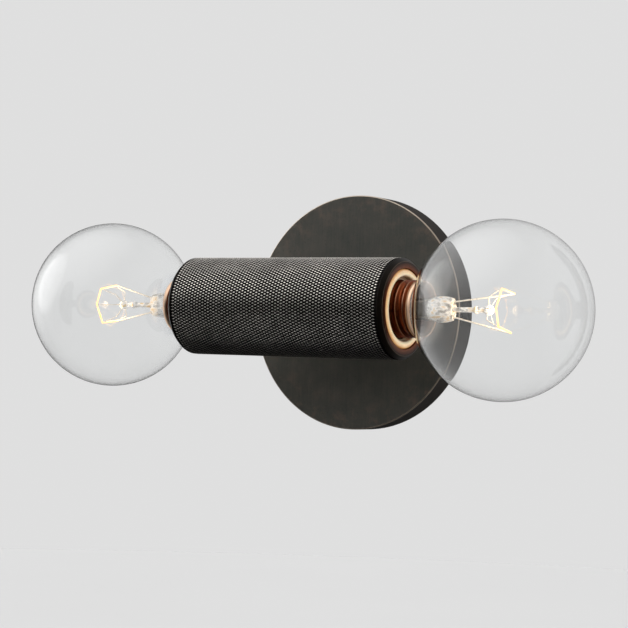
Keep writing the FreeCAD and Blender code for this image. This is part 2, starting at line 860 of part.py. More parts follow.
def support_route(end):
    """From the glass button out to a knee, and on to the filament."""
    button = V(globe_at - button_back, 0, 0)
    away = V(0, end.y, end.z).normalize()
    knee = button + away * support_knee_r + V(support_knee_out, 0, 0)
    root = button + (knee - button).normalize() * support_root
    return [root, knee, V(filament_at - filament_r - filament_gap, end.y, end.z)]


def bulb_filament_supports():
    wires = [drawn_wire(rounded_path(support_route(end), support_bend), support_r) for end in support_ends()]
    return Part.makeCompound(wires)


def oval(along, wide, narrow):
    """An upright oval wire across the lamp's axis."""
    if wide > narrow:
        curve = Part.Ellipse(V(along, 0, wide), V(along, narrow, 0), V(along, 0, 0))
    else:
        curve = Part.Circle(V(along, 0, 0), ALONG, wide)
    return Part.Wire([curve.toShape()])


def bulb_stem():
    """The flare and tube, the press that seals the leads, and the rod with its bead and button."""
    rim = neck_end
    tube_top = press_low
    centre_x = rim + flare_r
    centre_y = stem_r + flare_r
    inner = flare_r + stem_wall
    diagonal = math.pi * 5 / 4
    edges = [
        Part.makeLine(V(rim - stem_wall, centre_y, 0), V(rim - stem_wall, flare_rim_r, 0)),
        Part.makeLine(V(rim - stem_wall, flare_rim_r, 0), V(rim, flare_rim_r, 0)),
        Part.makeLine(V(rim, flare_rim_r, 0), V(rim, centre_y, 0)),
        Part.Arc(
            V(rim, centre_y, 0), polar(centre_x, centre_y, flare_r, diagonal), V(centre_x, stem_r, 0)
        ).toShape(),
        Part.makeLine(V(centre_x, stem_r, 0), V(tube_top, stem_r, 0)),
        Part.makeLine(V(tube_top, stem_r, 0), V(tube_top, stem_r - stem_wall, 0)),
        Part.makeLine(V(tube_top, stem_r - stem_wall, 0), V(centre_x, stem_r - stem_wall, 0)),
        Part.Arc(
            V(centre_x, stem_r - stem_wall, 0),
            polar(centre_x, centre_y, inner, diagonal),
            V(rim - stem_wall, centre_y, 0),
        ).toShape(),
    ]
    stem = turned(edges)
    press = Part.makeLoft(
        [
            oval(press_low, stem_r, stem_r),
            oval(globe_at - press_wide_back, press_wide_r, press_narrow_r),
            oval(press_top, press_top_wide_r, press_top_narrow_r),
        ],
        True,
        False,
    )
    rod = bar_x(rod_r, press_top - overrun, globe_at - button_back)
    bead = Part.makeSphere(bead_r, V(globe_at - bead_back, 0, 0))
    button = Part.makeSphere(button_r, V(globe_at - button_back, 0, 0))
    for piece in (press, rod, bead, button):
        stem = stem.fuse(piece)
    for side_z in (1, -1):
        hole = bar_x(lead_in_r + slip, press_low - overrun, press_top + overrun, 0, side_z * lead_in_apart)
        stem = stem.cut(hole)
    for end in support_ends():
        root, knee, _ = support_route(end)
        stem = stem.cut(between(support_r + slip, root, knee))
    return stem


def parts():
    """Every node's name and its solids."""
    yield "wall_crossbar", wall_crossbar()
    yield "canopy", canopy()
    yield "canopy_screws", canopy_screws()
    yield "ground_screw", ground_screw()
    yield "ground_wire", ground_wire()
    yield "stem_post", stem_post()
    yield "stem_nipple", stem_nipple()
    yield "canopy_lock_washer", canopy_lock_washer()
    yield "nipple_locknuts", nipple_locknuts()
    yield "saddle_washer", saddle_washer()
    yield "knurled_tube", knurled_tube()
    yield "socket_strap", socket_strap()
    yield "socket_rivets", socket_rivets()
    yield "socket_screws", socket_screws()
    yield "hot_leads", leads(contact_rivet_out, 1)
    yield "neutral_leads", leads(-shell_rivet_out, -1)
    yield "wire_connectors", wire_connectors()
    at_each_end = (
        ("end_ring", end_ring()),
        ("socket_body", socket_body()),
        ("socket_shell", socket_shell()),
        ("centre_contact", centre_contact()),
        ("bulb_glass", bulb_glass()),
        ("bulb_base_shell", bulb_base_shell()),
        ("bulb_insulator", bulb_insulator()),
        ("bulb_tip", bulb_tip()),
    )
    inside_the_globe = (
        ("bulb_stem", bulb_stem()),
        ("bulb_lead_wires", bulb_lead_wires()),
        ("bulb_filament_supports", bulb_filament_supports()),
        ("bulb_filament", bulb_filament()),
    )
    for word, side in (("left", LEFT), ("right", RIGHT)):
        for name, shape in at_each_end:
            yield f"{word}_{name}", seated(shape, side)
        # Both filaments' open sides face the wall
        for name, shape in inside_the_globe:
            yield f"{word}_{name}", seated(shape, side, side == RIGHT)


os.makedirs("parts", exist_ok=True)
for node, shape in parts():
    shape.exportStep(f"parts/{node}.step")
    state = "valid" if shape.isValid() else "INVALID"
    print(node, len(shape.Solids), "solids", round(shape.Volume, 1), "mm3", state)
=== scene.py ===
# %% [markdown]
# # A double wall light
# A round backplate of patinated bronze carries a knurled tube across its front, and a clear globe
# lamp screws into the socket at each end. The solids come from CAD and stay exactly where they are.
# This lesson dresses them: it models the pieces whose surface is finer than a solid should be, gives
# every piece its finish, and sets up the studio and the camera.

# %% Load the solids
import math
from contextlib import contextmanager

import bpy
from mathutils import Matrix, Vector


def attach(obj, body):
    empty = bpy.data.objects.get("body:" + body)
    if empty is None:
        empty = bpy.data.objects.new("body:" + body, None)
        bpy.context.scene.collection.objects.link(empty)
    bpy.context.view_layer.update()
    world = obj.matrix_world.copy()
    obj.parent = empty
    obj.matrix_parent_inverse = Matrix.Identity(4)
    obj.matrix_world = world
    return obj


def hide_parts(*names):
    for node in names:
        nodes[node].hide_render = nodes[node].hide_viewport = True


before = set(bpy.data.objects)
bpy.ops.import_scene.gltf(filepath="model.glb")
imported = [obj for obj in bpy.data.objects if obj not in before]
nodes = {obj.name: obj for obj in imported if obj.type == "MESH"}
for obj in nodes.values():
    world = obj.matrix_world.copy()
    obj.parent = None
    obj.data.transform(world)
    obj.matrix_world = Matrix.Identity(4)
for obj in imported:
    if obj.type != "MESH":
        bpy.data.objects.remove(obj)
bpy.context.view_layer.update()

# %% [markdown]
# ## Sizes that the new pieces share with the solids
# All of them are in metres, as Blender counts, so a millimetre gets a short name. Positions along
# the lamps are measured on the right-hand lamp's axis, from the middle of the tube. A point counts
# as being at a place when it is nearer to it than a hundredth of a millimetre.

# %% Shared sizes
mm = 0.001
near = 0.01 * mm
ends = ("left", "right")
plate_r = 57.15 * mm
plate_front = -13.2 * mm
tube_axis = Vector((0, -66.2 * mm, 0))
tube_r = 23.1 * mm
tube_bore_r = 21.1 * mm
tube_half = 56.1 * mm
ring_face = 58.2 * mm
lamp_tip = 40.2 * mm
cap_top = 67.2 * mm
thread_pitch = 3.629 * mm
thread_throw = 0.425 * mm
sheet = 0.35 * mm
glass_thick = 0.7 * mm
globe_r = 40 * mm
globe_at = 106.7 * mm
print("tube", tube_r / mm, "mm, globes", globe_r / mm, "mm in radius")

# %% [markdown]
# ## Working by operators
# Each new piece is made as by hand: a primitive, edit mode, and modifiers that are applied. A few
# small helpers keep that short. One selects objects, one adds a primitive, and one opens edit
# mode with just the wanted vertices, edges or faces selected.

# %% Helpers for selecting and editing


def only(*pieces):
    """Selects these objects and nothing else."""
    bpy.ops.object.select_all(action="DESELECT")
    for piece in pieces:
        piece.select_set(True)
    bpy.context.view_layer.objects.active = pieces[0]


def started(add, name, **settings):
    """Adds a primitive with nothing else selected, and names it."""
    bpy.ops.object.select_all(action="DESELECT")
    add(**settings)
    piece = bpy.context.object
    piece.name = piece.data.name = name
    bpy.ops.object.transform_apply(location=True, rotation=True, scale=True)
    return piece


@contextmanager
def editing(piece, kind="vertices", test=None):
    """Edit mode, with all selected or only the vertices, edges or faces whose middle passes a test."""
    only(piece)
    mesh = piece.data
    if test:
        for group in (mesh.vertices, mesh.edges, mesh.polygons):
            group.foreach_set("select", [False] * len(group))
        for item in {"vertices": mesh.vertices, "edges": mesh.edges, "faces": mesh.polygons}[kind]:
            if kind == "vertices":
                middle = item.co
            elif kind == "edges":
                middle = (mesh.vertices[item.vertices[0]].co + mesh.vertices[item.vertices[1]].co) / 2
            else:
                middle = item.center
            item.select = bool(test(item, middle))
    kinds = ("vertices", "edges", "faces")
    bpy.context.scene.tool_settings.mesh_select_mode = [kind == each for each in kinds]
    bpy.ops.object.mode_set(mode="EDIT")
    if not test:
        bpy.ops.mesh.select_all(action="SELECT")
    yield
    bpy.ops.object.mode_set(mode="OBJECT")


print("helpers:", ", ".join(each.__name__ for each in (only, started, editing)))

# %% [markdown]
# A piece that has its shape is finished in the same few steps. Its doubles are merged and its
# normals made to agree, a skin is given its wall, and the modifiers are applied. Smooth shading
# then stops at sharp edges. The last helper tells how far a point is from the axis, by which the
# faces of a round piece are picked out.

# %% Helpers for finishing a piece


def settled(piece, smooth_angle):
    """Applies the modifiers and shades smooth, except over edges sharper than an angle."""
    only(piece)
    for modifier in list(piece.modifiers):
        bpy.ops.object.modifier_apply(modifier=modifier.name)
    bpy.ops.object.shade_smooth_by_angle(angle=math.radians(smooth_angle))
    return piece


def merged(piece, gap=0.002 * mm):
    """Merges doubles and makes the normals agree, before a wall gets its thickness."""
    with editing(piece):
        bpy.ops.mesh.remove_doubles(threshold=gap)
        bpy.ops.mesh.normals_make_consistent(inside=False)
    return piece


def thickened(piece, name, thickness):
    """Adds a modifier that lays a wall of this thickness inside the skin."""
    wall = piece.modifiers.new(name, "SOLIDIFY")
    wall.thickness = thickness
    wall.offset = -1


def off_axis(middle):
    """How far a point is from the axis that a piece is modelled round."""
    return math.hypot(middle.y, middle.z)


print("helpers:", ", ".join(each.__name__ for each in (settled, merged, thickened, off_axis)))

# %% [markdown]
# ## Turned shapes
# Rings, globes and caps are round about the lamp's axis. The way a lathe hand thinks of them is a
# row of stations, each a place along the axis and a radius. A circle is extruded from one station
# to the next and resized there, which gives clean rings of four-sided faces.

# %% A turned skin from stations


def through(along, radius, stations, shift=(0, 0)):
    """Extrudes the selected ring through more stations; the first step may also shift it sideways."""
    for next_along, next_radius in stations:
        step = (next_along - along, *shift)
        bpy.ops.mesh.extrude_region_move(TRANSFORM_OT_translate={"value": step})
        grow = next_radius / radius
        bpy.ops.transform.resize(value=(1, grow, grow), center_override=(next_along, 0, 0))
        along, radius, shift = next_along, next_radius, (0, 0)


def turned(name, stations, sides=96):
    """A skin of rings, turned about the axis through these stations."""
    along, radius = stations[0]
    ring = started(
        bpy.ops.mesh.primitive_circle_add,
        name,
        vertices=sides,
        radius=radius,
        location=(along, 0, 0),
        rotation=(0, math.pi / 2, 0),
    )
    with editing(ring):
        through(along, radius, stations[1:])
    return ring


def arc(centre_along, centre_out, radius, start, end, steps):
    """Stations on an arc, from one angle to another in degrees; 0 points along the axis."""
    stations = []
    for step in range(steps + 1):
        angle = math.radians(start + (end - start) * step / steps)
        along = centre_along + radius * math.cos(angle)
        out = centre_out + radius * math.sin(angle)
        stations.append((along, out))
    return stations


print("a quarter arc in 2 steps:", [[round(each, 3) for each in at] for at in arc(0, 0, 1, 0, 90, 2)])

# %% [markdown]
# A piece for the lamps is made once, on the right-hand axis. Its copy for the left-hand end has a
# mesh of its own, turned half round the vertical, so a right-handed thread stays right-handed.

# %% A piece for each end


def at_both_ends(piece, body=None, half_turn=False):
    """Places a piece at the right-hand end and a copy at the left-hand end, each on its body."""
    name = piece.name
    copy = piece.copy()
    copy.data = piece.data.copy()
    bpy.context.scene.collection.objects.link(copy)
    pair = []
    for side, item in (("left", copy), ("right", piece)):
        place = Matrix.Translation(tube_axis)
        if side == "left":
            place = place @ Matrix.Rotation(math.pi, 4, "Z")
        elif half_turn:
            place = place @ Matrix.Rotation(math.pi, 4, "X")
        item.matrix_world = place
        item.name = item.data.name = f"{side}_{name}"
        only(item)
        bpy.ops.object.transform_apply(location=True, rotation=True, scale=True)
        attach(item, f"{side}_lamp" if body == "lamp" else "fixture")
        pair.append(item)
    return pair


print("the lamps' axis runs through", [round(value / mm, 1) for value in tube_axis], "mm")

# %% [markdown]
# ## The knurled tube
# Two sets of fine helical grooves cross on the tube and leave a pyramid in each diamond. Painting
# that would look flat at the tube's outline, so it is real geometry. A cylinder is cut into cells,
# each cell is poked to its middle, and the cells' own edges are dissolved, which leaves staggered
# diamonds. Each diamond is then inset and lifted to the solid's radius, so the tube keeps its size,
# and the small flat on top is what catches the light as a bright point. Measured on the photograph,
# a diamond is 3.1 mm along the tube and 1.45 mm round it.

# %% The knurled skin
cells_round = 100
cell_rows = 36
knurl_depth = 0.4 * mm
knurl_flank = 0.42 * mm
knurl_end = 0.3 * mm
groove_r = tube_r - knurl_depth

knurled = started(
    bpy.ops.mesh.primitive_cylinder_add,
    "knurled_skin",
    vertices=cells_round,
    radius=groove_r,
    depth=2 * (tube_half - knurl_end),
    end_fill_type="NOTHING",
    rotation=(0, math.pi / 2, 0),
)
with editing(knurled, "edges", lambda edge, middle: abs(middle.x) < tube_half / 2):
    bpy.ops.mesh.subdivide(number_cuts=cell_rows - 1)
cell_corners = len(knurled.data.vertices)
with editing(knurled, "faces"):
    bpy.ops.mesh.poke(offset=0)
with editing(knurled, "edges", lambda edge, middle: max(edge.vertices) < cell_corners):
    bpy.ops.mesh.dissolve_edges(use_verts=False)
diamonds = [len(face.vertices) for face in knurled.data.polygons].count(4)
with editing(knurled, "faces", lambda face, middle: len(face.vertices) == 4):
    bpy.ops.mesh.inset(thickness=knurl_flank, depth=knurl_depth, use_individual=True)
print(diamonds, "diamonds,", len(knurled.data.polygons), "faces")

# %% [markdown]
# The open edges of the skin are extruded to the tube's end faces, inwards to the bore, and along
# the bore to the middle, where the two halves meet and are merged. A cutter takes out the hole at
# the back that the threaded nipple passes through. It leaves slivers and faces of many corners, so
# the first are merged and the second split into well-shaped triangles.

# %% The tube's ends and bore
nipple_hole_r = 4.9 * mm
drill_length = 8 * mm

for way in (-1, 1):
    edge_at = way * (tube_half - knurl_end)
    end_at = way * tube_half
    with editing(knurled, "vertices", lambda vertex, middle: abs(middle.x - edge_at) < near):
        through(edge_at, groove_r, [(end_at, groove_r), (end_at, tube_bore_r), (0, tube_bore_r)])
merged(knurled)
drill = started(
    bpy.ops.mesh.primitive_cylinder_add,
    "nipple_drill",
    vertices=48,
    radius=nipple_hole_r,
    depth=drill_length,
    location=(0, tube_r, 0),
    rotation=(math.pi / 2, 0, 0),
)
bore = knurled.modifiers.new("nipple hole", "BOOLEAN")
bore.operation = "DIFFERENCE"
bore.object = drill
only(knurled)
bpy.ops.object.modifier_apply(modifier=bore.name)
merged(knurled)
with editing(knurled, "faces", lambda face, middle: len(face.vertices) > 4):
    bpy.ops.mesh.quads_convert_to_tris(ngon_method="BEAUTY")
settled(knurled, smooth_angle=25)
bpy.data.objects.remove(drill)
knurled.location = tube_axis
only(knurled)
bpy.ops.object.transform_apply(location=True, rotation=True, scale=True)
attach(knurled, "fixture")
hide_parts("knurled_tube")
print("tube mesh:", len(knurled.data.polygons), "faces")

# %% [markdown]
# ## The end rings
# A lathe leaves a crisp edge, but never a perfectly sharp one, and the thin highlight along it is
# what tells the eye that this is metal. So the rings are turned again here, with each edge rounded
# by a bevel of two tenths of a millimetre.

# %% The end rings
lip_seat = 55.0 * mm
ring_back = 50.1 * mm
ring_mouth_r = 18.3 * mm
ring_face_r = 21.3 * mm
ring_seat_r = 21.05 * mm
ring_bore_r = 17.25 * mm
edge_round = 0.22 * mm
ring = turned(
    "end_ring_turned",
    [
        (ring_face, ring_mouth_r),
        (ring_face, ring_face_r),
        (tube_half, tube_r),
        (tube_half, ring_seat_r),
        (ring_back, ring_seat_r),
        (ring_back, ring_bore_r),
        (lip_seat, ring_bore_r),
        (lip_seat, ring_mouth_r),
        (ring_face, ring_mouth_r),
    ],
    sides=128,
)
merged(ring)
rounding = ring.modifiers.new("rounded edges", "BEVEL")
rounding.width = edge_round
rounding.segments = 3
rounding.limit_method = "ANGLE"
rounding.angle_limit = math.radians(30)
settled(ring, smooth_angle=30)
end_rings = at_both_ends(ring)
for side, piece in zip(ends, end_rings):
    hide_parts(f"{side}_end_ring")
print("end ring:", len(ring.data.polygons), "faces")

# %% [markdown]
# ## Rolled screw threads
# A lamp's cap and a socket's shell are sheet metal, rolled to a soft round thread. Cut across, such
# a thread is a circle set a little off the axis, and the circle's middle goes round once in each
# pitch. The Screw modifier does just that to an off-centre circle, and Solidify gives the sheet its
# thickness.

# %% A rolled thread


def rolled(name, radius, start, turns, sides=80, steps=40):
    """The outer skin of a rolled thread that starts at a place along the axis."""
    angle = 2 * math.pi * start / thread_pitch
    coil = started(
        bpy.ops.mesh.primitive_circle_add,
        name,
        vertices=sides,
        radius=radius,
        location=(start, thread_throw * math.cos(angle), thread_throw * math.sin(angle)),
        rotation=(0, math.pi / 2, 0),
    )
    wind = coil.modifiers.new("thread", "SCREW")
    wind.axis = "X"
    wind.angle = 2 * math.pi
    wind.screw_offset = thread_pitch
    wind.iterations = turns
    wind.steps = wind.render_steps = steps
    wind.use_merge_vertices = False
    only(coil)
    bpy.ops.object.modifier_apply(modifier=wind.name)
    return coil


print("thread:", round(thread_pitch / mm, 3), "mm a turn,", round(2 * thread_throw / mm, 2), "mm deep")

# %% [markdown]
# The lamp's cap has a bowl below the thread, down to the black insulator, and a plain collar above
# it that grips the glass. Both are extruded from the thread's end rings: the first step shifts the
# ring sideways onto the axis, and the others follow the profile.

# %% The lamp caps
cap_turns = 5
cap_thread_low = 46.5 * mm
cap_thread_high = cap_thread_low + cap_turns * thread_pitch
cap_thread_r = 12.675 * mm
cap_collar_r = 13.12 * mm
cap = rolled("cap_thread", cap_thread_r, cap_thread_low, cap_turns)


def continued(piece, place, radius, stations):
    """Brings a thread's end ring onto the axis and extrudes it through more stations."""
    angle = 2 * math.pi * place / thread_pitch
    shift = (-thread_throw * math.cos(angle), -thread_throw * math.sin(angle))
    with editing(piece, "vertices", lambda vertex, middle: abs(middle.x - place) < near):
        through(place, radius, stations, shift)


continued(cap, cap_thread_high, cap_thread_r, [
    (cap_thread_high + 0.3 * mm, 12.9 * mm),
    (cap_thread_high + 0.6 * mm, cap_collar_r),
    (cap_top - 0.35 * mm, cap_collar_r),
    (cap_top - 0.1 * mm, 13.02 * mm),
    (cap_top, 12.85 * mm),
])
continued(cap, cap_thread_low, cap_thread_r, [
    (cap_thread_low - 0.35 * mm, 12.1 * mm),
    (cap_thread_low - 0.9 * mm, 11.6 * mm),
    (lamp_tip + 4.9 * mm, 10.6 * mm),
    (lamp_tip + 4.7 * mm, 10.35 * mm),
])
merged(cap)
thickened(cap, "sheet", sheet)
settled(cap, smooth_angle=50)
cap.name = "cap_shell"
caps = at_both_ends(cap, "lamp")
for side, piece in zip(ends, caps):
    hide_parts(f"{side}_bulb_base_shell")
print("cap:", len(cap.data.polygons), "faces")

# %% [markdown]
# The socket's shell has the same thread, a little larger, and a flange at its foot for the rivet.
# Only its outer skin is drawn, down to the flange's underside, and the sheet's wall lies inside. The
# normals of an open cup with a narrow foot come out of the merge facing in, so they are flipped.

# %% The socket shells
shell_turns = 4
shell_low = 40.884 * mm
shell_thread_r = 13.275 * mm
flange_r = shell_thread_r + thread_throw
flange_hole_r = 7.81 * mm
shell = rolled("shell_thread", shell_thread_r, shell_low, shell_turns)
continued(shell, shell_low, shell_thread_r, [
    (shell_low, flange_r),
    (shell_low - sheet, flange_r),
    (shell_low - sheet, flange_hole_r),
])
merged(shell)
with editing(shell):
    bpy.ops.mesh.flip_normals()
thickened(shell, "sheet", sheet)
settled(shell, smooth_angle=50)
shell.name = "socket_shell_rolled"
socket_shells = at_both_ends(shell)
for side, piece in zip(ends, socket_shells):
    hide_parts(f"{side}_socket_shell")
print("socket shell:", len(shell.data.polygons), "faces")

# %% [markdown]
# ## The globes
# Clear glass shows every facet by the way it bends what lies behind, so the globe is turned with
# many fine stations: up the neck, round the flare, and over the ball to its pole, where the last
# small ring is merged to a point. Solidify then lays the inner wall 0.7 mm inside.

# %% The globes
neck_foot = (51 * mm, 11.3 * mm)
flare_at = 62.752 * mm
flare_out = 19.3 * mm
flare_r = 8 * mm
last_angle = 0.6
lean = math.degrees(math.atan2(flare_out, flare_at - globe_at))
flare = arc(flare_at, flare_out, flare_r, 270, 180 + lean, 10)
ball = arc(globe_at, 0, globe_r, lean, last_angle, 70)
globe = turned("globe_glass", [neck_foot] + flare + ball[1:], sides=160)
with editing(globe, "vertices", lambda vertex, middle: middle.x > globe_at + globe_r - near):
    bpy.ops.mesh.merge(type="CENTER")
merged(globe)
thickened(globe, "glass wall", glass_thick)
settled(globe, smooth_angle=60)
globes = at_both_ends(globe, "lamp")
for side, piece in zip(ends, globes):
    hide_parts(f"{side}_bulb_glass")
print("globe:", len(globe.data.polygons), "faces")

# %% [markdown]
# ## The filaments
# What glows is a very fine coil of tungsten, hung in a five-cornered arc from two leads and five
# supports. A coil that follows a line is two modifiers: Screw winds a straight one, and Curve bends
# it along the line. The line is a curve with the same corners as the solid.

# %% The filament's line
filament_at = globe_at + 2 * mm
filament_ring_r = 10.8 * mm
filament_angles = (64, 137, 183, 239, 315)
corners = [
    Vector((
        filament_at,
        -filament_ring_r * math.cos(math.radians(angle)),
        filament_ring_r * math.sin(math.radians(angle)),
    ))
    for angle in filament_angles
]
route_length = sum((end - start).length for start, end in zip(corners, corners[1:]))

line = bpy.data.curves.new("filament_line", "CURVE")
line.dimensions = "3D"
line.resolution_u = 24
spline = line.splines.new("BEZIER")
spline.bezier_points.add(len(corners) - 1)
for point, corner in zip(spline.bezier_points, corners):
    point.co = corner
    point.handle_left_type = point.handle_right_type = "VECTOR"
line_object = bpy.data.objects.new("filament_line", line)
bpy.context.scene.collection.objects.link(line_object)
print("filament line:", round(route_length / mm, 1), "mm round", len(corners), "corners")

# %% [markdown]
# The wire is a small ring of six corners that Screw winds round once in each pitch. Two turns are
# left out, so that the coil stops short of the line's end. Winding leaves the wire's two ends
# open, so they are filled before the coil is bent.

# %% The filament coils
coil_r = 0.42 * mm
wire_r = 0.09 * mm
wire_sides = 6
coil_pitch = 0.26 * mm
turns_left_out = 2
steps_in_a_turn = 9

turns = int(route_length / coil_pitch) - turns_left_out
filament = started(
    bpy.ops.mesh.primitive_circle_add,
    "filament_coil",
    vertices=wire_sides,
    radius=wire_r,
    location=(0, coil_r - wire_r, 0),
    rotation=(0, 0, 0),
)
wind = filament.modifiers.new("coil", "SCREW")
wind.axis = "X"
wind.angle = 2 * math.pi
wind.screw_offset = coil_pitch
wind.iterations = turns
wind.steps = wind.render_steps = steps_in_a_turn
only(filament)
bpy.ops.object.modifier_apply(modifier=wind.name)
with editing(filament):
    bpy.ops.mesh.fill_holes(sides=wire_sides)
merged(filament)
follow = filament.modifiers.new("follow the line", "CURVE")
follow.object = line_object
follow.deform_axis = "POS_X"
settled(filament, smooth_angle=80)
bpy.data.objects.remove(line_object)
filaments = at_both_ends(filament, "lamp", half_turn=True)
for side, piece in zip(ends, filaments):
    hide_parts(f"{side}_bulb_filament")
print("filament:", turns, "turns,", len(filament.data.polygons), "faces")

# %% [markdown]
# ## The twist-on connectors
# Behind the plate, the leads are joined in two tapered plastic caps. Real ones have a plain skirt
# and grip grooves along the cone, so every third of the cone's long faces is inset and sunk. The
# lower cap is a copy, turned the other way. Both are joined in one object, because one node holds
# both solids.

# %% The twist-on connectors
connector_out = 13.5 * mm
connector_tip = 29.5 * mm
connector_floor = 24.5 * mm
connector_bore_r = 1.9 * mm
connector_from_wall = 5.4 * mm
connector_sides = 36
skirt_r = 4.2 * mm
skirt_top = connector_out + 4.0 * mm
pole_r = 0.2 * mm
connector = turned(
    "connector_pair",
    [
        (connector_floor, pole_r),
        (connector_floor, connector_bore_r),
        (connector_out, connector_bore_r),
        (connector_out, skirt_r - 0.3 * mm),
        (connector_out + 0.3 * mm, skirt_r),
        (skirt_top - 0.3 * mm, skirt_r),
        (skirt_top, skirt_r - 0.3 * mm),
        (skirt_top, 3.6 * mm),
        (connector_tip - 0.6 * mm, 3.02 * mm),
        (connector_tip - 0.2 * mm, 2.85 * mm),
        (connector_tip, 2.4 * mm),
        (connector_tip, pole_r),
    ],
    sides=connector_sides,
)
for pole in (connector_floor, connector_tip):
    with editing(
        connector,
        "vertices",
        lambda vertex, middle: abs(middle.x - pole) < near and off_axis(middle) < 2 * pole_r,
    ):
        bpy.ops.mesh.merge(type="CENTER")
merged(connector)
print("a plain connector:", len(connector.data.polygons), "faces")

# %% [markdown]
# The cone's long faces are found by where their middles are: above the skirt, below the tip and
# well off the axis. Their number round the axis then picks one in three.

# %% The grip grooves and the pair
cone_from = 18 * mm
cone_to = 28 * mm
cone_r = 3 * mm
groove_rim = 0.1 * mm
groove_depth = 0.3 * mm


def in_a_groove(face, middle):
    """One in three of the long faces of the cone."""
    number = math.floor(math.atan2(middle.z, middle.y) / (2 * math.pi) * connector_sides)
    on_cone = cone_from < middle.x < cone_to and off_axis(middle) > cone_r
    return number % 3 == 0 and on_cone


with editing(connector, "faces", in_a_groove):
    bpy.ops.mesh.inset(thickness=groove_rim, depth=-groove_depth, use_individual=True)
settled(connector, smooth_angle=30)
lower = connector.copy()
lower.data = connector.data.copy()
bpy.context.scene.collection.objects.link(lower)
for item, quarter in ((connector, -math.pi / 2), (lower, math.pi / 2)):
    place = Matrix.Translation((0, -connector_from_wall, 0))
    item.matrix_world = place @ Matrix.Rotation(quarter, 4, "Y")
    only(item)
    bpy.ops.object.transform_apply(location=True, rotation=True, scale=True)
only(connector, lower)
bpy.ops.object.join()
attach(connector, "fixture")
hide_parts("wire_connectors")
print("connectors:", len(connector.data.polygons), "faces")

# %% [markdown]
# ## A language for finishes
# A finish is a small sum over noise, height and distance. Written as Python it stays readable: a
# Value wraps one output socket and turns +, - and * into Math nodes, and a Graph adds any other
# node with one method. Settings come first, because some of them decide which sockets exist.

# %% Values and graphs


class Value:
    """One output socket, which sums can be written with."""

    def __init__(self, graph, socket):
        self.graph = graph
        self.socket = socket

    def math(self, operation, *others):
        """A Math node on this value and the others."""
        inputs = dict(enumerate((self, *others)))
        return self.graph.node("ShaderNodeMath", {"operation": operation}, inputs)

    def __add__(self, other):
        return self.math("ADD", other)

    def __mul__(self, other):
        return self.math("MULTIPLY", other)

    def __sub__(self, other):
        return self.math("SUBTRACT", other)

    def __rsub__(self, other):
        return self * -1 + other

    __radd__ = __add__
    __rmul__ = __mul__

    def rise(self, low, high):
        """0 below low, 1 above high, and a straight rise between them."""
        inputs = {"Value": self, "From Min": low, "From Max": high}
        return self.graph.node("ShaderNodeMapRange", {"clamp": True}, inputs)

    def output(self, name):
        """Another output of the same node."""
        return Value(self.graph, self.socket.node.outputs[name])


class Graph:
    """A node tree that nodes are added to."""

    def __init__(self, tree):
        self.tree = tree

    def node(self, kind, settings=None, inputs=None, output=0):
        """Adds a node: its settings, then its sockets' values or links. Returns one output."""
        made = self.tree.nodes.new(kind)
        for setting, value in (settings or {}).items():
            setattr(made, setting, value)
        for socket, value in (inputs or {}).items():
            if isinstance(value, Value):
                self.tree.links.new(value.socket, made.inputs[socket])
            else:
                made.inputs[socket].default_value = value
        return Value(self, made.outputs[output])

    def blend(self, low, high, amount):
        """A colour between two colours. A Mix node's sockets for them are its seventh and eighth."""
        colours = {"Factor": amount, 6: low, 7: high}
        return self.node("ShaderNodeMix", {"data_type": "RGBA"}, colours, 2)


print("a Value takes +, - and * from either side")

# %% [markdown]
# A Finish is a material with its Principled shader. What is the same all over the surface is set on
# the shader's own sockets. What changes over it is linked, and reads Object coordinates, so that a
# pattern stays on the piece when it moves.

# %% Finishes


